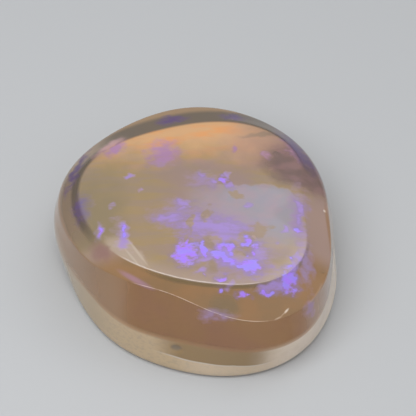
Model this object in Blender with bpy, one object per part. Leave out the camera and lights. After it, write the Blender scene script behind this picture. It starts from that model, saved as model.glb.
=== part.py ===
"""A freeform crystal opal: one polished stone with a nearly level top, steep sides and a flat back.

Run it with: blender --background --python part.py
The stone lies on its flat back at Z = 0, the origin is the middle of its box on that back,
-Y is the side with the long bevelled edge, +X is to the right of somebody facing that side.
Sizes are in millimetres, and MM turns them into Blender's metres.
"""

import math

import bmesh
import bpy
import numpy as np
from mathutils import Vector

MM = 0.001

# Heights above the flat back
RIDGE_HEIGHT = 1.60
TABLE_HEIGHT = 3.70
DOME_RISE = 0.28

# Plan of the stone, as its reach from the middle every 30 degrees, from +X (right) through +Y (back).
# The ridge goes round the side, and the bevel lies between its own lower border and the table.
BASE_REACH = (5.72, 5.62, 5.60, 5.60, 5.50, 5.55, 5.10, 4.85, 4.98, 5.34, 5.88, 5.90)
RIDGE_REACH = (5.52, 5.95, 6.20, 6.30, 6.00, 6.02, 5.46, 4.75, 4.80, 5.00, 6.02, 5.92)
BEVEL_REACH = (5.33, 5.64, 5.98, 6.12, 5.78, 5.66, 5.18, 4.48, 3.87, 4.12, 5.36, 5.80)
BEVEL_HEIGHT = (3.00, 3.10, 3.10, 3.10, 3.10, 3.10, 3.10, 3.12, 3.16, 2.98, 2.56, 2.75)
TABLE_REACH = (4.30, 4.85, 5.08, 4.61, 4.53, 4.82, 4.40, 3.80, 3.43, 3.54, 4.28, 4.80)

# How far each rounded corner of the side reaches along the faces beside it, front and back
BASE_ROUNDING = 0.30
RIDGE_ROUNDING_FRONT = 0.12
RIDGE_ROUNDING_BACK = 0.80
BEVEL_ROUNDING_FRONT = 0.06
BEVEL_ROUNDING_BACK = 0.25
TABLE_ROUNDING_FRONT = 0.10
TABLE_ROUNDING_BACK = 0.25
FRONT = math.radians(283)
FRONT_HALF_SPREAD = math.radians(110)
FRONT_EASE = math.radians(40)
LONGEST_ROUNDING = 0.48

# Fineness of the solid
DIRECTIONS = 72
CORNER_STEPS = 3
DOME_RINGS = 4
SHARP_EDGE = math.radians(25)

OPAL_COLOUR = (0.62, 0.50, 0.42, 1.0)
OPAL_ROUGHNESS = 0.06
OPAL_IOR = 1.45
OPAL_CLEARNESS = 0.85


def around(values, angle):
    """A smooth closed curve through values spaced evenly round the compass, read at one direction."""
    count = len(values)
    waves = np.fft.rfft(values) / count
    total = waves[0].real
    for turns, wave in enumerate(waves[1:], start=1):
        share = 1.0 if 2 * turns == count else 2.0
        total += share * (wave * np.exp(1j * turns * angle)).real
    return float(total)


def at_front(angle):
    """1 along the front and the ends beside it, easing to 0 towards the back and staying there."""
    turned = abs((angle - FRONT + math.pi) % (2 * math.pi) - math.pi)
    share = min(max((FRONT_HALF_SPREAD - turned) / FRONT_EASE, 0.0), 1.0)
    return math.sin(share * math.pi / 2) ** 2


def between(low, high, share):
    return low + (high - low) * share


def rounded_corner(before, corner, after, reach):
    """Points of a soft bend at a corner of the profile, which starts and ends reach away from it."""
    to_before = before - corner
    to_after = after - corner
    start = corner + to_before.normalized() * min(reach, to_before.length * LONGEST_ROUNDING)
    end = corner + to_after.normalized() * min(reach, to_after.length * LONGEST_ROUNDING)
    points = []
    for step in range(CORNER_STEPS + 1):
        t = step / CORNER_STEPS
        points.append(start * (1 - t) ** 2 + corner * 2 * t * (1 - t) + end * t**2)
    return points


def side_profile(angle):
    """The stone's side in one direction as (reach, height) points, from the flat back up to the table."""
    front = at_front(angle)
    centre = Vector((0.0, 0.0))
    base = Vector((around(BASE_REACH, angle), 0.0))
    ridge = Vector((around(RIDGE_REACH, angle), RIDGE_HEIGHT))
    bevel = Vector((around(BEVEL_REACH, angle), around(BEVEL_HEIGHT, angle)))
    table = Vector((around(TABLE_REACH, angle), TABLE_HEIGHT))
    top = Vector((0.0, TABLE_HEIGHT + 2 * DOME_RISE))
    points = rounded_corner(centre, base, ridge, BASE_ROUNDING)
    points += rounded_corner(base, ridge, bevel, between(RIDGE_ROUNDING_BACK, RIDGE_ROUNDING_FRONT, front))
    points += rounded_corner(ridge, bevel, table, between(BEVEL_ROUNDING_BACK, BEVEL_ROUNDING_FRONT, front))
    points += rounded_corner(bevel, table, top, between(TABLE_ROUNDING_BACK, TABLE_ROUNDING_FRONT, front))
    return points


def stone_rings():
    """Closed rings of points that climb the side from the flat back and close in over the dome."""
    angles = [2 * math.pi * step / DIRECTIONS for step in range(DIRECTIONS)]
    profiles = [side_profile(angle) for angle in angles]
    crown_height = TABLE_HEIGHT + DOME_RISE
    for profile in profiles:
        edge = profile[-1]
        for ring in range(1, DOME_RINGS + 1):
            share = 1 - ring / (DOME_RINGS + 1)
            profile.append(Vector((edge.x * share, between(crown_height, edge.y, share**2))))
    rings = []
    for level in range(len(profiles[0])):
        ring = []
        for angle, profile in zip(angles, profiles):
            reach, height = profile[level]
            ring.append(Vector((reach * math.cos(angle), reach * math.sin(angle), height)) * MM)
        rings.append(ring)
    return rings


def centre_on_its_back(shape):
    """Moves the stone so that the middle of its box, at its lowest point, is the origin."""
    xs = [vert.co.x for vert in shape.verts]
    ys = [vert.co.y for vert in shape.verts]
    middle = Vector(((min(xs) + max(xs)) / 2, (min(ys) + max(ys)) / 2, 0.0))
    bmesh.ops.translate(shape, verts=shape.verts, vec=-middle)


def stone_mesh():
    """The closed stone, skinned ring by ring, with one flat face below and a fan over the dome's top."""
    shape = bmesh.new()
    loops = [[shape.verts.new(point) for point in ring] for ring in stone_rings()]
    for lower, upper in zip(loops, loops[1:]):
        for here in range(DIRECTIONS):
            ahead = (here + 1) % DIRECTIONS
            shape.faces.new((lower[here], lower[ahead], upper[ahead], upper[here]))
    shape.faces.new(reversed(loops[0]))
    crown = shape.verts.new(Vector((0.0, 0.0, TABLE_HEIGHT + DOME_RISE)) * MM)
    for here in range(DIRECTIONS):
        shape.faces.new((loops[-1][here], loops[-1][(here + 1) % DIRECTIONS], crown))
    centre_on_its_back(shape)
    mesh = bpy.data.meshes.new("opal")
    shape.to_mesh(mesh)
    shape.free()
    mesh.shade_smooth()
    mesh.set_sharp_from_angle(angle=SHARP_EDGE)
    return mesh


def opal_material():
    """Clear opal with a faint warm body colour."""
    material = bpy.data.materials.new("crystal_opal")
    material.use_nodes = True
    shader = material.node_tree.nodes["Principled BSDF"]
    shader.inputs["Base Color"].default_value = OPAL_COLOUR
    shader.inputs["Roughness"].default_value = OPAL_ROUGHNESS
    shader.inputs["Metallic"].default_value = 0.0
    shader.inputs["IOR"].default_value = OPAL_IOR
    shader.inputs["Transmission Weight"].default_value = OPAL_CLEARNESS
    return material


def main():
    for old in list(bpy.data.objects):
        bpy.data.objects.remove(old)
    mesh = stone_mesh()
    mesh.materials.append(opal_material())
    opal = bpy.data.objects.new("opal", mesh)
    bpy.context.scene.collection.objects.link(opal)


main()
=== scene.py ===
"""The look of a crystal opal: a freeform polished stone with play of colour, lying on its flat back.

The stone's CAD model comes first and fixes its place and its size. Everything is in metres, and the
stone's own sizes are in millimetres times MM. -Y is the side with the long bevelled edge.
"""

import math

import bpy
import numpy as np
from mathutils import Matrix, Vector, noise


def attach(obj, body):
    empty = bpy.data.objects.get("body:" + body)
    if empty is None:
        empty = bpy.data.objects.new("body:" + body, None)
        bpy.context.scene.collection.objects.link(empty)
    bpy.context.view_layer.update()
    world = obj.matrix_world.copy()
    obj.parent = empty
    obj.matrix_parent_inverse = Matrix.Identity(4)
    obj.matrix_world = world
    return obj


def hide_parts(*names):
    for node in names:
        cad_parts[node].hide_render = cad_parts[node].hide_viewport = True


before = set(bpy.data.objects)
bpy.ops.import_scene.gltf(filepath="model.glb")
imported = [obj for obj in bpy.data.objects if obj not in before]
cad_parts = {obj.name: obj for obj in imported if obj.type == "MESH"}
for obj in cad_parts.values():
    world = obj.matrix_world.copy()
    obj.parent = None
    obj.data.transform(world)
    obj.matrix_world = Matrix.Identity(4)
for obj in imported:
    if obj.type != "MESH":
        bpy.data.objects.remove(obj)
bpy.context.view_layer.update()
MM = 0.001

# The opal, ground and polished from one piece of precious opal: a clear, faintly warm silica with
# a haze in it. The plan is freeform, the top a low dome, the front edge crisp, the other edges
# rolled over by the polishing wheel, and the back is ground flat.
RIDGE_HEIGHT = 1.60
TABLE_HEIGHT = 3.70
DOME_RISE = 0.28
# Reach from the middle, and height, every 30 degrees from the right side round by the back
BASE_REACH = (5.72, 5.62, 5.60, 5.60, 5.50, 5.55, 5.10, 4.85, 4.98, 5.34, 5.88, 5.90)
RIDGE_REACH = (5.52, 5.95, 6.20, 6.30, 6.00, 6.02, 5.46, 4.75, 4.80, 5.00, 6.02, 5.92)
BEVEL_REACH = (5.33, 5.64, 5.98, 6.12, 5.78, 5.66, 5.18, 4.48, 3.87, 4.12, 5.36, 5.80)
BEVEL_HEIGHT = (3.00, 3.10, 3.10, 3.10, 3.10, 3.10, 3.10, 3.12, 3.16, 2.98, 2.56, 2.75)
TABLE_REACH = (4.30, 4.85, 5.08, 4.61, 4.53, 4.82, 4.40, 3.80, 3.43, 3.54, 4.28, 4.80)
BASE_ROUNDING = 0.30
# At the back, then at the front
RIDGE_ROUNDING = (0.80, 0.12)
BEVEL_ROUNDING = (0.25, 0.06)
TABLE_ROUNDING = (0.25, 0.05)
LONGEST_ROUNDING = 0.48
# The middle of the crisp front, how far it goes to each side, and the part of that where it eases in
FRONT = math.radians(283)
FRONT_HALF_SPREAD = math.radians(110)
FRONT_EASE = math.radians(40)
DIRECTIONS = 480
CORNER_STEPS = 8
BACK_RINGS = 6
BACK_SHARES = (0.3, 0.985)
WALL_RINGS = 14
DOME_RINGS = 64
POLISH_WAVE_WIDTH = 2.6
POLISH_WAVE_DEPTH = 0.012
# Height above the back at which the waves start, and the height over which they grow
WAVES_START = 0.1
WAVES_GROWTH = 0.4
# The place on the back from which marks and dents are measured, in the plan's own measure
MARKS_FROM = np.array([0.10, 0.45, 0.0])
# Dents left by the grinding, and a chip: middle, half width and half height on the side, depth
DENTS = (
    ((-0.80, -5.30, 1.20), 0.28, 0.20, 0.090),
    ((-0.62, -5.40, 1.13), 0.12, 0.10, 0.050),
    ((1.37, -5.79, 0.66), 0.16, 0.08, 0.025),
    ((5.07, -0.04, 3.14), 0.10, 0.10, 0.030),
)

angles = 2 * np.pi * np.arange(DIRECTIONS) / DIRECTIONS


def around(values):
    """A smooth closed curve through values spaced evenly round the compass, in every direction."""
    waves = np.fft.rfft(values) / len(values)
    total = np.full(DIRECTIONS, waves[0].real)
    for turns in range(1, len(waves)):
        share = 1.0 if 2 * turns == len(values) else 2.0
        total += share * (waves[turns] * np.exp(1j * turns * angles)).real
    return total


def corner_arc(before, corner, after, reach):
    """Rings of a soft bend at a corner of the profile, which starts and ends reach away from it."""
    ends = []
    for other in (before, after):
        way = other - corner
        length = np.linalg.norm(way, axis=1)
        ends.append(corner + way * (np.minimum(reach, length * LONGEST_ROUNDING) / length)[:, None])
    start, end = ends
    steps = np.arange(CORNER_STEPS + 1) / CORNER_STEPS
    return [start * (1 - t) ** 2 + corner * 2 * t * (1 - t) + end * t**2 for t in steps]


def run_between(start, end, rings):
    """Rings evenly spaced on the straight run between two rings, without the two."""
    return [start + (end - start) * step / (rings + 1) for step in range(1, rings + 1)]


turned = np.abs((angles - FRONT + np.pi) % (2 * np.pi) - np.pi)
at_front = np.sin(np.clip((FRONT_HALF_SPREAD - turned) / FRONT_EASE, 0, 1) * np.pi / 2) ** 2


def towards_front(rounding):
    at_back_value, at_front_value = rounding
    return at_back_value + (at_front_value - at_back_value) * at_front


def ring(reach, height):
    return np.stack([np.broadcast_to(reach, DIRECTIONS), np.broadcast_to(height, DIRECTIONS)], axis=1)


middle = ring(0.0, 0.0)
base = ring(around(BASE_REACH), 0.0)
ridge = ring(around(RIDGE_REACH), RIDGE_HEIGHT)
bevel = ring(around(BEVEL_REACH), around(BEVEL_HEIGHT))
table = ring(around(TABLE_REACH), TABLE_HEIGHT)
peak = ring(0.0, TABLE_HEIGHT + 2 * DOME_RISE)
base_arc = corner_arc(middle, base, ridge, np.full(DIRECTIONS, BASE_ROUNDING))
ridge_arc = corner_arc(base, ridge, bevel, towards_front(RIDGE_ROUNDING))
bevel_arc = corner_arc(ridge, bevel, table, towards_front(BEVEL_ROUNDING))
table_arc = corner_arc(bevel, table, peak, towards_front(TABLE_ROUNDING))
levels = [base_arc[0] * [share, 1] for share in np.linspace(*BACK_SHARES, BACK_RINGS)]
levels += base_arc + run_between(base_arc[-1], ridge_arc[0], WALL_RINGS)
ridge_start = len(levels)
levels += ridge_arc + run_between(ridge_arc[-1], bevel_arc[0], WALL_RINGS)
bevel_start = len(levels)
levels += bevel_arc + run_between(bevel_arc[-1], table_arc[0], WALL_RINGS)
table_start = len(levels)
levels += table_arc
crown_height = TABLE_HEIGHT + DOME_RISE
edge = table_arc[-1]
for step in range(1, DOME_RINGS + 1):
    share = 1 - step / (DOME_RINGS + 1)
    heights = crown_height + (edge[:, 1] - crown_height) * share**2
    levels.append(ring(edge[:, 0] * share, heights))

points = []
for level in levels:
    reach, level_height = level.T
    points.append(np.stack([reach * np.cos(angles), reach * np.sin(angles), level_height], axis=1))
points = np.concatenate(points + [[[0.0, 0.0, 0.0]], [[0.0, 0.0, crown_height]]])
box_middle = (points.min(axis=0) + points.max(axis=0)) / 2 * [1, 1, 0]
points -= MARKS_FROM

faces = []
last = (len(levels) - 1) * DIRECTIONS
for lower in range(0, last, DIRECTIONS):
    upper = lower + DIRECTIONS
    for here in range(DIRECTIONS):
        ahead = (here + 1) % DIRECTIONS
        faces.append((lower + here, lower + ahead, upper + ahead, upper + here))
foot, crown = len(points) - 2, len(points) - 1
for here in range(DIRECTIONS):
    ahead = (here + 1) % DIRECTIONS
    faces.append((ahead, here, foot))
    faces.append((last + here, last + ahead, crown))

stone_mesh = bpy.data.meshes.new("opal_stone")
stone_mesh.from_pydata((points * MM).tolist(), [], faces)
stone_mesh.update()

# The polish is done by hand, so the faces wave by up to a hundredth of a millimetre
normals = np.zeros(len(points) * 3)
stone_mesh.vertices.foreach_get("normal", normals)
normals = normals.reshape(-1, 3)
waves = np.array([noise.noise(Vector(point / POLISH_WAVE_WIDTH)) for point in points])
off_the_back = np.clip((points[:, 2] - WAVES_START) / WAVES_GROWTH, 0, 1)
points += normals * (waves * POLISH_WAVE_DEPTH * off_the_back)[:, None]
for centre, half_width, half_height, deepest in DENTS:
    away = points - centre
    sideways = np.hypot(away[:, 0], away[:, 1]) / half_width
    upward = away[:, 2] / half_height
    share = np.clip(1 - sideways**2 - upward**2, 0, 1)
    points -= normals * (deepest * share)[:, None]
stone_mesh.vertices.foreach_set("co", (points * MM).ravel())
stone_mesh.update()
stone_mesh.shade_smooth()

# How far each point lies outside the top's edge, in millimetres, and the share of it that lies
# below the bevel or on the foot, for zones of colour that follow those edges. The two crisp edges
# at the front are worn to a frosty line that is also a painted highlight, and the lower one ends in a short
# chipped hook.
TOP_EDGE_WORN_GLINT = (math.radians(228), math.radians(325))
TOP_EDGE_WEAR_AND_GLINT = 0.7
BEVEL_EDGE_WORN_GLINT = (math.radians(231), math.radians(306))
BEVEL_EDGE_WEAR_AND_GLINT = 1.0
WORN_GLINT_FADE = math.radians(9)
# In rings of the corner's bend
WORN_GLINT_WIDTH = 0.8


def bearing_window(span):
    start, end = span
    return np.clip((angles - start) / WORN_GLINT_FADE, 0, 1) * np.clip((end - angles) / WORN_GLINT_FADE, 0, 1)


past_edge = np.concatenate([level[:, 0] - table[:, 0] for level in levels] + [[0.0, -table[:, 0].mean()]])
worn_glint = np.zeros((len(levels), DIRECTIONS))
for start, span, most in (
    (table_start, TOP_EDGE_WORN_GLINT, TOP_EDGE_WEAR_AND_GLINT),
    (bevel_start, BEVEL_EDGE_WORN_GLINT, BEVEL_EDGE_WEAR_AND_GLINT),
):
    for step in range(CORNER_STEPS + 1):
        off_middle = (step - CORNER_STEPS / 2) / WORN_GLINT_WIDTH
        worn_glint[start + step] = math.exp(-off_middle**2) * bearing_window(span) * most
worn_glint = np.concatenate([worn_glint.ravel(), [0.0, 0.0]])
below_bevel = np.zeros((len(levels), DIRECTIONS))
below_bevel[: bevel_start + CORNER_STEPS // 2 + 1] = 1.0
on_foot = np.zeros((len(levels), DIRECTIONS))
on_foot[:ridge_start] = 1.0
for step in range(CORNER_STEPS + 1):
    on_foot[ridge_start + step] = 1 - step / CORNER_STEPS
below_bevel = np.concatenate([below_bevel.ravel(), [1.0, 0.0]])
on_foot = np.concatenate([on_foot.ravel(), [1.0, 0.0]])

# Play of colour: places where the stone's silica is ordered enough to send back one colour, each
# with its middle, its half widths across and upward, and its turn in degrees. Around them is a
# haze of the same colour, and between them lie windows of plain olive stone.
BRIGHT_FLASHES = (
    ((-0.45, -2.72, 3.85), 0.38, 0.52, 0), ((-0.35, -2.20, 3.90), 0.12, 0.16, 0),
    ((0.21, -2.63, 3.88), 0.10, 0.26, 0), ((0.98, -2.48, 3.89), 0.26, 0.16, 20),
    ((1.29, -2.58, 3.88), 0.16, 0.22, 0), ((0.82, -2.82, 3.87), 0.36, 0.15, -14),
    ((1.22, -3.10, 3.83), 0.40, 0.22, -15), ((1.39, -3.46, 3.80), 0.20, 0.11, 0),
    ((1.97, -3.34, 3.80), 0.46, 0.28, -8), ((2.21, -2.60, 3.85), 0.18, 0.22, 0),
    ((2.42, -3.52, 3.76), 0.14, 0.12, -30), ((1.82, -2.26, 3.89), 0.17, 0.19, 0),
    ((1.16, 0.92, 3.94), 0.12, 0.24, 20), ((4.01, -1.57, 3.76), 0.10, 0.15, 0),
    ((3.67, -2.98, 3.73), 0.07, 0.08, 0), ((0.89, -4.32, 3.55), 0.10, 0.09, 0),
    ((0.24, -3.76, 3.75), 0.10, 0.07, 0), ((0.95, -3.92, 3.73), 0.20, 0.11, 0),
    ((-3.81, -1.42, 3.73), 0.07, 0.22, -15), ((-2.93, -1.72, 3.80), 0.09, 0.26, 14),
    ((3.52, -3.86, 3.40), 0.32, 0.40, -25), ((2.63, -4.30, 3.38), 0.26, 0.11, 0),
    ((1.87, -4.50, 3.33), 0.26, 0.08, -5),
)
FAINT_FLASHES = (
    ((0.17, -3.00, 3.84), 0.30, 0.18, -10), ((0.90, -2.37, 3.90), 0.34, 0.14, -15),
    ((2.48, -2.79, 3.83), 0.24, 0.40, 0), ((1.33, -2.10, 3.91), 0.22, 0.10, -8),
    ((1.31, 0.53, 3.95), 0.11, 0.22, 30), ((4.02, -0.39, 3.75), 0.10, 0.32, 10),
    ((4.12, -0.99, 3.74), 0.09, 0.30, 0), ((3.46, -1.61, 3.81), 0.14, 0.18, 0),
    ((3.90, -2.80, 3.71), 0.12, 0.30, 0), ((0.17, -3.52, 3.78), 0.18, 0.10, -20),
    ((1.24, -4.23, 3.66), 0.14, 0.14, 0), ((2.90, -4.13, 3.48), 0.60, 0.18, 5),
    ((3.82, -3.43, 3.53), 0.12, 0.25, 20), ((-2.74, 1.23, 3.87), 0.20, 0.10, 25),
    ((-3.34, -0.26, 3.85), 0.09, 0.12, 0), ((-2.10, 0.50, 3.92), 0.09, 0.10, 0),
    ((0.60, -1.50, 3.95), 1.15, 0.42, -8), ((0.95, -1.95, 3.94), 0.95, 0.36, -14),
    ((0.10, -1.20, 3.97), 0.40, 0.12, 0), ((-0.55, -0.62, 3.98), 0.22, 0.12, 0),
    ((2.20, -2.10, 3.88), 0.10, 0.10, 0),
    ((3.05, -2.20, 3.84), 0.10, 0.10, 0), ((0.30, 1.10, 3.94), 0.14, 0.10, 0),
    ((-3.82, -1.46, 3.73), 0.15, 0.34, -14), ((-2.92, -1.80, 3.80), 0.20, 0.60, 16),
    ((-0.37, -0.32, 3.98), 0.36, 0.14, 5), ((-0.95, -1.07, 3.95), 0.50, 0.16, 0),
    ((0.65, 0.89, 3.95), 0.16, 0.12, 0), ((1.20, 1.25, 3.93), 0.12, 0.14, 0),
    ((1.55, -3.05, 3.83), 0.90, 0.45, -14), ((2.45, -2.75, 3.84), 0.34, 0.40, 0),
    ((0.30, -2.85, 3.85), 0.28, 0.30, 0), ((1.10, -1.95, 3.92), 0.45, 0.12, -12),
    ((0.55, -1.75, 3.94), 0.50, 0.28, -10), ((2.00, -0.45, 3.92), 0.16, 0.14, 0),
)
HAZE = (
    ((0.64, -1.63, 3.95), 1.30, 0.75, -8), ((-0.70, -0.90, 3.97), 0.80, 0.55, 0),
    ((0.30, 0.85, 3.95), 0.50, 0.35, 0), ((1.48, -3.00, 3.84), 1.35, 0.75, -8),
    ((4.05, -1.20, 3.76), 0.30, 1.40, 0), ((-1.28, 2.40, 3.86), 0.56, 0.60, 5),
    ((-1.40, 2.05, 3.90), 0.42, 0.36, 5), ((-3.22, 2.80, 3.66), 0.20, 0.42, -35),
    ((-4.50, -0.30, 3.62), 0.30, 0.60, 0), ((-1.06, 4.55, 3.59), 0.62, 0.26, 10),
    ((1.59, 4.70, 3.46), 0.40, 0.30, 0), ((4.05, 2.86, 3.40), 0.36, 1.10, 30),
    ((1.57, 2.62, 3.84), 0.18, 0.18, 0), ((2.60, 2.30, 3.80), 0.20, 0.14, 0),
    ((4.25, -2.84, 3.60), 0.20, 0.85, 10), ((0.70, -4.93, 2.76), 0.60, 0.20, -5),
    ((4.24, -4.30, 2.40), 0.22, 0.30, 0), ((3.20, -3.98, 3.39), 0.80, 0.30, 10),
    ((-4.74, 1.92, 3.45), 0.16, 0.95, -20), ((3.90, -3.20, 3.66), 0.16, 0.30, 30),
)
WINDOWS = (
    ((0.40, -0.88, 3.97), 0.13, 0.26, -25), ((-0.26, -1.35, 3.97), 0.12, 0.34, 0),
    ((1.46, 0.10, 3.95), 0.36, 0.09, -38), ((1.96, -2.06, 3.90), 0.66, 0.22, 26),
    ((0.62, -2.28, 3.91), 0.34, 0.34, 0), ((1.78, -2.62, 3.87), 0.34, 0.40, 0),
    ((0.67, -3.28, 3.82), 0.26, 0.26, 0), ((2.53, -1.52, 3.88), 0.34, 0.16, 10),
)

# In half widths of a spot, where its nearness stops counting
FARTHEST = 3.0
# Sizes of the bends that make the borders of the spots ragged, each with its reach
RAGGED = ((0.80, 0.20), (0.26, 0.17))
NOISE_SHIFTS = (Vector((0.0, 0.0, 0.0)), Vector((17.3, 0.0, 0.0)), Vector((0.0, 23.9, 0.0)))

bent = points.copy()
for size, reach in RAGGED:
    for axis, shift in enumerate(NOISE_SHIFTS):
        bends = [noise.noise(Vector(point / size) + shift) for point in points]
        bent[:, axis] += reach * np.array(bends)


def nearness(spots):
    """1 in the middle of the nearest of some spots, a half at its border, 0 as far again outside it."""
    nearest = np.full(len(bent), FARTHEST)
    for centre, half_width, half_height, turn in spots:
        x, y, z = (bent - centre).T
        way = math.radians(turn)
        along = x * math.cos(way) + y * math.sin(way)
        upward = y * math.cos(way) - x * math.sin(way)
        away = np.sqrt((along / half_width) ** 2 + (upward**2 + z**2) / half_height**2)
        nearest = np.minimum(nearest, away)
    return 1 - nearest / 2


fields = {"past_edge": past_edge, "below_bevel": below_bevel, "on_foot": on_foot, "worn_glint": worn_glint}
fields |= {"bright_flash": nearness(BRIGHT_FLASHES), "faint_flash": nearness(FAINT_FLASHES)}
fields |= {"haze": nearness(HAZE), "window": nearness(WINDOWS)}
for name, values in fields.items():
    stone_mesh.attributes.new(name, "FLOAT", "POINT").data.foreach_set("value", values)

OPAL_IOR = 1.45
POLISH_ROUGHNESS = 0.03
HAZE_ROUGHNESS = 0.16
CLEARNESS = 0.60
# The colour of light that the silica lets through, and how strongly it takes out the rest, per metre
SILICA_TINT = (0.85, 0.66, 0.42, 1.0)
SILICA_DENSITY = 40.0

opal_finish = bpy.data.materials.new("crystal_opal")
opal_finish.use_nodes = True
nodes = opal_finish.node_tree.nodes
links = opal_finish.node_tree.links
surface = nodes["Principled BSDF"]


def fill(socket, value):
    """Join an output to a socket, or set the socket to a value."""
    if isinstance(value, bpy.types.NodeSocket):
        links.new(value, socket)
    else:
        socket.default_value = value


def put(kind, settings=None, **inputs):
    """A new node of one kind, with its settings and inputs. An input named i0 or i1 goes by its place."""
    made = nodes.new(kind)
    for name, value in (settings or {}).items():
        setattr(made, name, value)
    for name, value in inputs.items():
        by_place = name[0] == "i" and name[1:].isdigit()
        fill(made.inputs[int(name[1:]) if by_place else name], value)
    return made


def maths(operation, first, second=0.0):
    return put("ShaderNodeMath", {"operation": operation}, i0=first, i1=second).outputs[0]


def times(*shares):
    total = shares[0]
    for share in shares[1:]:
        total = maths("MULTIPLY", total, share)
    return total


def most_of(*shares):
    """The greatest of some shares."""
    greatest = shares[0]
    for share in shares[1:]:
        greatest = maths("MAXIMUM", greatest, share)
    return greatest


def ramp(value, start, end):
    """0 before start and 1 after end, easing in between. Along the stone, both are in millimetres."""
    made = put("ShaderNodeMapRange", {"interpolation_type": "SMOOTHSTEP"}, Value=value)
    made.inputs["From Min"].default_value = min(start, end)
    made.inputs["From Max"].default_value = max(start, end)
    made.inputs["To Min"].default_value = float(start > end)
    made.inputs["To Max"].default_value = float(start < end)
    return made.outputs["Result"]


def tint(share, below, above):
    """One colour turning into another by a share."""
    made = put("ShaderNodeMix", {"data_type": "RGBA"}, i0=share)
    for socket, colour in ((made.inputs[6], below), (made.inputs[7], above)):
        fill(socket, (*colour, 1.0) if isinstance(colour, tuple) else colour)
    return made.outputs[2]


place = put("ShaderNodeTexCoord").outputs["Object"]
place = put("ShaderNodeVectorMath", {"operation": "SCALE"}, Vector=place, Scale=1 / MM).outputs[0]


def clouds(size, detail=3.0, roughness=0.5, stretch=(1.0, 1.0, 1.0), colour=False):
    """Soft noise with blotches of about one size in millimetres, longer along any stretched way."""
    scaled = put("ShaderNodeVectorMath", {"operation": "DIVIDE"}, i0=place, i1=stretch).outputs[0]
    made = put("ShaderNodeTexNoise", Vector=scaled, Scale=1 / size, Detail=detail, Roughness=roughness)
    return made.outputs["Color" if colour else "Fac"]


def layered(size, below, above, detail=3.0, stretch=(1.0, 1.0, 1.0), start=0.40, end=0.62, most=1.0):
    """One colour over another in soft blotches of about one size."""
    return tint(times(ramp(clouds(size, detail=detail, stretch=stretch), start, end), most), below, above)


def wander(size, reach):
    """The place, moved about by up to half the reach, so that a zone of colour has no drawn edge."""
    way = clouds(size, colour=True)
    way = put("ShaderNodeVectorMath", {"operation": "SUBTRACT"}, i0=way, i1=(0.5, 0.5, 0.5))
    way = put("ShaderNodeVectorMath", {"operation": "SCALE"}, Vector=way.outputs[0], Scale=reach)
    return put("ShaderNodeVectorMath", {"operation": "ADD"}, i0=place, i1=way.outputs[0]).outputs[0]


def patch(through, centre, radii, turn=0.0, soft=0.5):
    """1 inside an ellipsoid round a place in millimetres, easing to 0 outside it."""
    made = put("ShaderNodeMapping", {"vector_type": "TEXTURE"}, Vector=through)
    made.inputs["Location"].default_value = centre
    made.inputs["Rotation"].default_value = (0, 0, math.radians(turn))
    made.inputs["Scale"].default_value = radii
    away = put("ShaderNodeVectorMath", {"operation": "LENGTH"}, Vector=made.outputs[0]).outputs["Value"]
    return ramp(away, 1 + soft, 1 - soft)


def scratch(start, end, half_width):
    """1 on a thin tapering mark between two places in millimetres, 0 off it."""
    start, end = Vector(start), Vector(end)
    way = end - start
    made = put("ShaderNodeMapping", {"vector_type": "TEXTURE"}, Vector=place)
    made.inputs["Location"].default_value = (start + end) / 2
    made.inputs["Rotation"].default_value = (0, -math.asin(way.z / way.length), math.atan2(way.y, way.x))
    made.inputs["Scale"].default_value = (way.length / 2, half_width, half_width)
    away = put("ShaderNodeVectorMath", {"operation": "LENGTH"}, Vector=made.outputs[0]).outputs["Value"]
    return ramp(away, 1.5, 0.5)


def field(name):
    return put("ShaderNodeAttribute", {"attribute_name": name}).outputs["Fac"]


far_wander = wander(1.2, 1.6)
near_wander = wander(0.45, 0.5)
across, depth, height = put("ShaderNodeSeparateXYZ", Vector=place).outputs
across_far, depth_far, _ = put("ShaderNodeSeparateXYZ", Vector=far_wander).outputs
depth_near = put("ShaderNodeSeparateXYZ", Vector=near_wander).outputs["Y"]
past_edge = field("past_edge")
front = ramp(depth, -1.8, -2.8)
coarse_grain = clouds(0.34, detail=2.0, stretch=(1.6, 0.8, 1.0))
fine_grain = clouds(0.12, roughness=0.6, stretch=(1.5, 0.9, 1.0))
grain = maths("SUBTRACT", maths("ADD", times(coarse_grain, 0.6), times(fine_grain, 0.4)), 0.5)

# The body: khaki and olive in layers, rosier to the right, with painted shade at the left
KHAKI = (0.58, 0.44, 0.30)
OLIVE = (0.62, 0.46, 0.23)
ROSE = (0.58, 0.42, 0.37)
SHADE = (0.47, 0.38, 0.22)
SHADE_PLACE = ((-4.0, -0.9, 3.7), (1.2, 1.7, 1.0))
body = layered(0.55, KHAKI, OLIVE, detail=4.0, stretch=(3.4, 0.6, 1.0), start=0.38)
rosy = ramp(clouds(1.1, stretch=(2.0, 1.0, 1.0)), 0.40, 0.60)
body = tint(times(rosy, ramp(across, -3.0, 0.0)), body, ROSE)
body = tint(patch(far_wander, *SHADE_PLACE, soft=0.6), body, SHADE)

# Amber, where the light comes through the far edge, with a brown streak and smoke at the right
AMBER = (0.90, 0.42, 0.16)
PALE_AMBER = (0.80, 0.47, 0.23)
ROSY_AMBER = (0.72, 0.43, 0.29)
BROWN_STREAK = (0.40, 0.30, 0.22)
BROWN_STREAK_PLACE = ((2.6, 3.50, 3.7), (0.75, 0.13, 0.5), 12)
SMOKE = (0.40, 0.24, 0.24)
DARK_SMOKE = (0.27, 0.18, 0.17)
SMOKE_PLACE = ((4.45, 1.80, 3.4), (1.85, 1.25, 2.0), -12)
amber = layered(0.8, AMBER, PALE_AMBER, detail=4.0, stretch=(2.2, 0.8, 1.0), end=0.60)
amber_zone = times(ramp(depth_far, 1.2, 3.5), ramp(across_far, 4.2, 0.8))
body = tint(amber_zone, body, amber)
body = tint(times(ramp(depth, 1.0, 2.2), ramp(across_far, 0.6, 2.2), 0.6), body, ROSY_AMBER)
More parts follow.
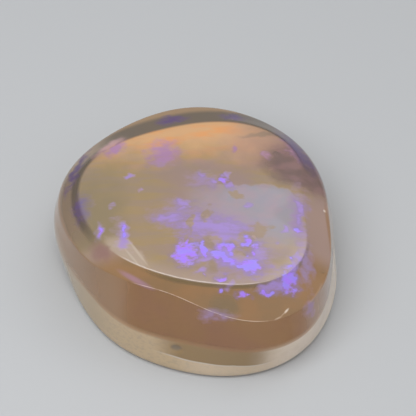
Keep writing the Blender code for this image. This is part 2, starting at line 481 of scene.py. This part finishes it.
body = tint(times(patch(near_wander, *BROWN_STREAK_PLACE, soft=0.6), 0.7), body, BROWN_STREAK)
smoky = patch(near_wander, *SMOKE_PLACE, soft=0.30)
body = tint(smoky, body, layered(0.45, SMOKE, DARK_SMOKE, detail=5.0, stretch=(1.6, 0.8, 1.0)))

# A milky haze in the right half of the top with a painted sheen over it, standing in for reflected light;
# its far border comes forward at the right
SHEEN_MILK = (0.47, 0.39, 0.50)
BLUE_SHEEN_MILK = (0.40, 0.40, 0.51)
SHEEN_MILK_PLACE = ((2.4, -0.4, 3.9), (2.3, 1.9, 1.5))
sheen_end = maths("ADD", depth_near, times(ramp(across, 3.0, 4.6), 0.8))
milk_and_sheen = times(patch(far_wander, *SHEEN_MILK_PLACE), ramp(sheen_end, 0.80, 0.60), ramp(past_edge, -0.08, -0.22))
body = tint(times(milk_and_sheen, 0.85), body, layered(1.0, SHEEN_MILK, BLUE_SHEEN_MILK))

# Painted light: a cream glow along the top's front edge, stronger to the right, and cream in a crescent with
# two fine scratches at its left end
CREAM = (0.80, 0.66, 0.54)
PALE_LINE = (0.95, 0.84, 0.68)
CRESCENT_PLACE = ((-2.70, -2.62, 3.7), (1.05, 0.40, 1.0), -43)
CRESCENT_SCRATCHES = (
    ((-2.60, -2.12, 3.79), (-1.90, -3.22, 3.69), 0.055),
    ((-2.80, -2.40, 3.77), (-2.20, -3.26, 3.68), 0.045),
)
edge_glow = times(ramp(past_edge, -0.65, -0.02), front, maths("ADD", 0.45, times(ramp(across, 2.0, 3.4), 0.55)))
crescent = times(patch(near_wander, *CRESCENT_PLACE, soft=0.30), 0.85)
lines = most_of(*[scratch(*line) for line in CRESCENT_SCRATCHES])
body = tint(most_of(times(edge_glow, 0.9), crescent, lines), body, CREAM)
body = tint(times(lines, 0.6), body, PALE_LINE)

# The rolled edge round the back and the left, painted dark because it looks into the stone's depth, with a
# painted rosy highlight at its upper left
RIM_OLIVE = (0.20, 0.155, 0.11)
RIM_VIOLET = (0.15, 0.09, 0.24)
RIM_EDGE = (0.45, 0.30, 0.17)
ROSY_RIM_HIGHLIGHT = (0.70, 0.42, 0.42)
ROSY_RIM_HIGHLIGHT_PLACE = ((-3.45, 2.85, 3.6), (0.35, 0.70, 0.5), -40)
BEVEL_TAUPE = (0.43, 0.32, 0.22)
rim = tint(ramp(past_edge, 0.75, 1.15), RIM_OLIVE, RIM_EDGE)
rim = tint(patch(near_wander, *ROSY_RIM_HIGHLIGHT_PLACE, soft=0.6), rim, ROSY_RIM_HIGHLIGHT)
rim = tint(times(ramp(across, -3.2, -4.4), ramp(past_edge, 0.22, 0.36)), rim, BEVEL_TAUPE)
back_or_left = most_of(ramp(depth, 0.6, 1.8), ramp(across, -2.9, -3.6))
at_rim = times(ramp(past_edge, -0.10, 0.08), back_or_left, ramp(depth, -2.4, -0.9))
body = tint(times(at_rim, maths("SUBTRACT", 1.0, times(smoky, 0.85))), body, rim)

# The front and right bevel, orange brown with an olive patch and a line of painted shade under the top's
# edge
WALL_ORANGE = (0.56, 0.32, 0.14)
BEVEL_OLIVE = (0.38, 0.28, 0.15)
BEVEL_OLIVE_PLACE = ((1.05, -4.75, 3.0), (0.55, 0.40, 0.40))
BEVEL_ROSE = (0.66, 0.47, 0.40)
SHADE_UNDER_EDGE = (0.30, 0.22, 0.10)
bevel_colour = layered(0.9, WALL_ORANGE, BEVEL_OLIVE, stretch=(1.6, 1.0, 1.0), end=0.65, most=0.4)
bevel_colour = tint(times(patch(near_wander, *BEVEL_OLIVE_PLACE), 0.9), bevel_colour, BEVEL_OLIVE)
bevel_colour = tint(ramp(depth, -3.1, -2.2), bevel_colour, BEVEL_ROSE)
shade_under_edge = times(ramp(past_edge, 0.16, 0.08), front, ramp(across, -2.6, -0.8))
bevel_colour = tint(shade_under_edge, bevel_colour, SHADE_UNDER_EDGE)

# The side below the bevel, pinkish brown, tan at the left and pale at the right
WALL_BROWN = (0.46, 0.265, 0.125)
WALL_PINK = (0.44, 0.24, 0.14)
WALL_TAN = (0.54, 0.35, 0.21)
WALL_PALE = (0.62, 0.47, 0.37)
below_bevel = field("below_bevel")
wall_colour = layered(1.6, WALL_BROWN, WALL_PINK, start=0.35, end=0.65)
wall_colour = tint(ramp(across, -2.2, -3.4), wall_colour, WALL_TAN)
wall_colour = tint(times(ramp(across, 3.9, 4.7), 0.9), wall_colour, WALL_PALE)
front_or_right = times(ramp(depth, 1.2, -0.6), most_of(front, ramp(across, 3.2, 4.2)))
off_the_top = times(ramp(past_edge, 0.0, 0.05), front_or_right)
body = tint(off_the_top, body, tint(below_bevel, bevel_colour, wall_colour))
body = tint(times(below_bevel, ramp(across, -3.0, -4.0)), body, WALL_TAN)

# A mauve patch and a pink glint at the bevel's left end, and a warm line down its right end
BEVEL_MAUVE = (0.46, 0.25, 0.25)
MAUVE_PLACE = ((-3.68, -2.36, 3.45), (0.46, 0.26, 0.45), -38)
PINK_GLINT = (0.72, 0.42, 0.62)
PINK_GLINT_LINE = ((-2.92, -3.20, 3.29), (-1.75, -3.88, 3.12), 0.12)
WARM_LINE = ((5.08, 0.20, 3.12), (5.22, -2.10, 2.86), 0.09)
body = tint(times(patch(near_wander, *MAUVE_PLACE, soft=0.6), 0.75), body, BEVEL_MAUVE)
body = tint(times(scratch(*WARM_LINE), 0.8), body, WALL_ORANGE)
body = tint(times(scratch(*PINK_GLINT_LINE), 0.75), body, PINK_GLINT)

# The band round the foot, less clear than the rest: cream with a fold of taupe, pale with painted
# light towards the right end and dusky at the left end, with painted shade in a pit
FROST_AND_GLINT = (0.80, 0.74, 0.66)
STRIP_CREAM = (0.68, 0.52, 0.33)
STRIP_GREY = (0.46, 0.39, 0.30)
STRIP_TAUPE = (0.38, 0.26, 0.13)
STRIP_PAINTED_LIGHT = (0.96, 0.82, 0.67)
STRIP_DUSK = (0.56, 0.44, 0.29)
PIT_SHADE = (0.26, 0.22, 0.17)
PIT_PLACE = ((-0.82, -5.27, 1.20), (0.20, 0.16, 0.13))
on_foot = field("on_foot")
strip = layered(0.13, STRIP_CREAM, STRIP_GREY, detail=5.0, stretch=(1.3, 1.3, 0.8),
                start=0.45, end=0.70, most=0.4)
strip = tint(times(ramp(across, -1.2, 0.4), 0.35), strip, STRIP_PAINTED_LIGHT)
fold = maths("ADD", height, times(clouds(2.2, detail=1.0), 0.35))
along_fold = times(ramp(across, -1.9, -0.6), ramp(across, 3.4, 2.2))
strip = tint(times(ramp(fold, 0.90, 0.98), along_fold), strip, STRIP_TAUPE)
strip = tint(times(ramp(fold, 0.87, 0.92), ramp(fold, 0.98, 0.93), along_fold, 0.7), strip, FROST_AND_GLINT)
mottled = maths("ADD", 0.7, times(ramp(clouds(0.5, detail=4.0), 0.35, 0.60), 0.3))
strip = tint(times(ramp(across, 1.8, 3.8), mottled), strip, STRIP_PAINTED_LIGHT)
strip = tint(ramp(across, -3.0, -4.2), strip, STRIP_DUSK)
strip = tint(times(ramp(height, 1.45, 1.58), 0.5), strip, WALL_BROWN)
strip = tint(times(patch(place, *PIT_PLACE, soft=0.4), 0.75), strip, PIT_SHADE)
body = tint(on_foot, body, strip)

# The violet of the play of colour, in a streaky haze and in flashes with ragged borders
VIOLET = (0.34, 0.18, 0.80)
PERIWINKLE = (0.29, 0.22, 0.76)
DIM_VIOLET = (0.42, 0.29, 0.74)
LILAC = (0.46, 0.33, 0.58)
PINK_LILAC = (0.56, 0.31, 0.54)
DUSK_BLUE = (0.24, 0.19, 0.40)
OLIVE_WINDOW = (0.46, 0.34, 0.21)
NO_GLOW = (0.0, 0.0, 0.0)
GLOW_STRENGTH = 0.15
streaks = ramp(clouds(0.40, detail=4.0, stretch=(2.6, 0.7, 1.0)), 0.10, 0.55)
lilac = tint(ramp(depth, 1.4, 2.2), LILAC, PINK_LILAC)
lilac = tint(ramp(across, -3.9, -4.2), lilac, DUSK_BLUE)
lilac = tint(at_rim, lilac, RIM_VIOLET)
even_haze = most_of(times(ramp(across, -3.2, -3.8), 0.8), ramp(depth, 1.3, 1.8))
haze = ramp(maths("ADD", field("haze"), times(grain, 1.1)), 0.12, 0.85)
haze = times(haze, most_of(streaks, even_haze))
body = tint(haze, body, lilac)
faint = times(ramp(maths("ADD", field("faint_flash"), grain), 0.15, 0.75), streaks)
body = tint(times(faint, 0.93), body, DIM_VIOLET)
window = ramp(maths("ADD", field("window"), times(grain, 1.6)), 0.15, 0.65)
body = tint(times(window, 0.85), body, OLIVE_WINDOW)
shimmer = maths("ADD", field("bright_flash"), times(grain, 1.4))
body = tint(times(ramp(shimmer, 0.02, 0.55), 0.5), body, DIM_VIOLET)
bright = ramp(shimmer, 0.32, 0.64)
violet = tint(ramp(coarse_grain, 0.42, 0.60), VIOLET, PERIWINKLE)
body = tint(times(bright, maths("ADD", 0.70, times(fine_grain, 0.50))), body, violet)

# Worn edges scatter the light and look frosted, as do the chipped hook and the chip on the shoulder. These
# pale marks are also painted highlights on those edges.
HOOK = (
    ((2.86, -5.02, 2.50), (3.24, -4.87, 2.58), 0.045, 1.0),
    ((3.32, -4.79, 2.64), (3.50, -4.62, 2.75), 0.045, 1.0),
    ((3.05, -4.98, 2.51), (3.46, -4.67, 2.72), 0.035, 0.7),
)
CHIP_PLACE = ((5.05, -0.04, 3.15), (0.07, 0.07, 0.07))
frost_and_glint = times(field("worn_glint"), ramp(clouds(0.35, detail=5.0), 0.25, 0.60))
hook = most_of(*[times(scratch(start, end, half_width), most) for start, end, half_width, most in HOOK])
frost_and_glint = most_of(frost_and_glint, hook, patch(place, *CHIP_PLACE, soft=0.4))
body = tint(times(frost_and_glint, 0.8), body, FROST_AND_GLINT)
links.new(body, surface.inputs["Base Color"])

# The stone is less clear in its amber, milky sheen, haze, flashes, foot, and frost with painted glints. The
# polish lies over all.
CLOUDY = (
    (amber_zone, 0.5), (on_foot, 0.55), (milk_and_sheen, 0.3), (haze, 0.3), (faint, 0.5), (bright, 0.85), (frost_and_glint, 0.8),
)
cloudy = most_of(*[times(share, most) for share, most in CLOUDY])
links.new(times(maths("SUBTRACT", 1.0, cloudy), CLEARNESS), surface.inputs["Transmission Weight"])
# The bright flashes also glow faintly: painted light, as the stone is no lamp
links.new(tint(bright, NO_GLOW, VIOLET), surface.inputs["Emission Color"])
surface.inputs["Emission Strength"].default_value = GLOW_STRENGTH
surface.inputs["Roughness"].default_value = HAZE_ROUGHNESS
surface.inputs["IOR"].default_value = OPAL_IOR
surface.inputs["Specular IOR Level"].default_value = 0.0
surface.inputs["Coat Weight"].default_value = 1.0
surface.inputs["Coat Roughness"].default_value = POLISH_ROUGHNESS
surface.inputs["Coat IOR"].default_value = OPAL_IOR
inside = put("ShaderNodeVolumeAbsorption", Color=SILICA_TINT, Density=SILICA_DENSITY)
links.new(inside.outputs[0], nodes["Material Output"].inputs["Volume"])

stone_mesh.materials.append(opal_finish)
stone = bpy.data.objects.new("opal_stone", stone_mesh)
stone.location = (MARKS_FROM - box_middle) * MM
bpy.context.scene.collection.objects.link(stone)
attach(stone, "root")
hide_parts("opal")

# The ground under the stone: a plain pale board, and no part of it. A hair of air is left between
# the two, as there is under any polished stone.
BOARD_HALF = 0.8
AIR_GAP = 0.02 * MM
BOARD_GREY = (0.475, 0.485, 0.495, 1.0)
BOARD_ROUGHNESS = 0.6
board_mesh = bpy.data.meshes.new("board")
corners = [(-BOARD_HALF, -BOARD_HALF, 0), (BOARD_HALF, -BOARD_HALF, 0),
           (BOARD_HALF, BOARD_HALF, 0), (-BOARD_HALF, BOARD_HALF, 0)]
board_mesh.from_pydata(corners, [], [(0, 1, 2, 3)])
board = bpy.data.objects.new("board", board_mesh)
board.location.z = -AIR_GAP
bpy.context.scene.collection.objects.link(board)
board_finish = bpy.data.materials.new("pale_board")
board_finish.use_nodes = True
board_surface = board_finish.node_tree.nodes["Principled BSDF"]
board_surface.inputs["Base Color"].default_value = BOARD_GREY
board_surface.inputs["Roughness"].default_value = BOARD_ROUGHNESS
board_mesh.materials.append(board_finish)

# The light: a pale room, darker towards its walls, and three soft boxes close to the stone. The one
# behind lies in the top's reflection: its lower edge crosses the top, and its light fades to one side.
ROOM_WHITE = (0.97, 0.98, 1.0, 1.0)
ROOM_AT_WALLS = 0.34
ROOM_OVERHEAD = 0.66
# The share of the way up from the horizon to overhead at which the room is brightest
BRIGHTEST_FROM = 0.8
room = bpy.data.worlds.new("room")
room.use_nodes = True
room_nodes = room.node_tree.nodes
room_links = room.node_tree.links
towards = room_nodes.new("ShaderNodeSeparateXYZ")
room_links.new(room_nodes.new("ShaderNodeTexCoord").outputs["Generated"], towards.inputs[0])
room_light = room_nodes.new("ShaderNodeMapRange")
room_light.interpolation_type = "SMOOTHSTEP"
room_light.inputs["From Max"].default_value = BRIGHTEST_FROM
room_light.inputs["To Min"].default_value = ROOM_AT_WALLS
room_light.inputs["To Max"].default_value = ROOM_OVERHEAD
room_links.new(towards.outputs["Z"], room_light.inputs["Value"])
room_links.new(room_light.outputs["Result"], room_nodes["Background"].inputs["Strength"])
room_nodes["Background"].inputs["Color"].default_value = ROOM_WHITE
bpy.context.scene.world = room


def soft_box(name, azimuth, elevation, distance, width, height, radiance):
    """An area light that faces the stone from one direction, in degrees and metres."""
    light = bpy.data.lights.new(name, "AREA")
    light.shape = "RECTANGLE"
    light.size = width
    light.size_y = height
    light.energy = radiance * math.pi * width * height
    lamp = bpy.data.objects.new(name, light)
    turn, lift = math.radians(azimuth), math.radians(elevation)
    way = Vector((math.sin(turn) * math.cos(lift), math.cos(turn) * math.cos(lift), math.sin(lift)))
    lamp.location = way * distance
    lamp.rotation_euler = way.to_track_quat("Z", "Y").to_euler()
    bpy.context.scene.collection.objects.link(lamp)
    return lamp


soft_box("soft_box_above", azimuth=218, elevation=66, distance=0.075, width=0.06, height=0.06, radiance=3.1)
soft_box("soft_box_low", azimuth=100, elevation=8, distance=0.12, width=0.05, height=0.05, radiance=1.5)
behind = soft_box(
    "soft_box_behind", azimuth=8, elevation=60, distance=0.20, width=0.34, height=0.085, radiance=1.0)
# Shares of the box's width
FULL_UP_TO = 0.36
DARK_FROM = 0.62
behind.data.use_nodes = True
behind_nodes = behind.data.node_tree.nodes
behind_links = behind.data.node_tree.links
on_box = behind_nodes.new("ShaderNodeSeparateXYZ")
behind_links.new(behind_nodes.new("ShaderNodeNewGeometry").outputs["Parametric"], on_box.inputs[0])
fade = behind_nodes.new("ShaderNodeMapRange")
fade.interpolation_type = "SMOOTHSTEP"
fade.inputs["From Min"].default_value = FULL_UP_TO
fade.inputs["From Max"].default_value = DARK_FROM
fade.inputs["To Min"].default_value = 1.0
fade.inputs["To Max"].default_value = 0.0
behind_links.new(on_box.outputs["X"], fade.inputs["Value"])
behind_links.new(fade.outputs["Result"], behind_nodes["Emission"].inputs["Strength"])

# The camera: looks down at the stone at 50 degrees, from straight in front, through a long lens.
# The target is a place on the stone and its pixel in the picture, whose scale is taken there.
LOOK_DOWN = math.radians(50)
DISTANCE = 110 * MM
TARGET_FROM_MARKS = Vector((-0.10, -0.43, 1.80))
TARGET = stone.location + TARGET_FROM_MARKS * MM
TARGET_PIXEL = (194, 241)
PIXELS_PER_MM = 25.27
IMAGE_PIXELS = 416
SENSOR_WIDTH = 36.0
CLIP_START = 2 * MM
towards_camera = Vector((0, -math.cos(LOOK_DOWN), math.sin(LOOK_DOWN)))
picture_up = Vector((0, math.sin(LOOK_DOWN), math.cos(LOOK_DOWN)))
picture_right = Vector((1, 0, 0))
right_of_target = (IMAGE_PIXELS / 2 - TARGET_PIXEL[0]) / PIXELS_PER_MM * MM
above_target = (TARGET_PIXEL[1] - IMAGE_PIXELS / 2) / PIXELS_PER_MM * MM
lens = bpy.data.cameras.new("camera")
lens.sensor_width = SENSOR_WIDTH
lens.lens = SENSOR_WIDTH * DISTANCE / (IMAGE_PIXELS / PIXELS_PER_MM * MM)
lens.clip_start = CLIP_START
camera = bpy.data.objects.new("camera", lens)
camera.location = TARGET + towards_camera * DISTANCE
aim = TARGET + picture_right * right_of_target + picture_up * above_target
camera.rotation_euler = (camera.location - aim).to_track_quat("Z", "Y").to_euler()
bpy.context.scene.collection.objects.link(camera)
bpy.context.scene.camera = camera
bpy.context.scene.view_settings.view_transform = "Standard"
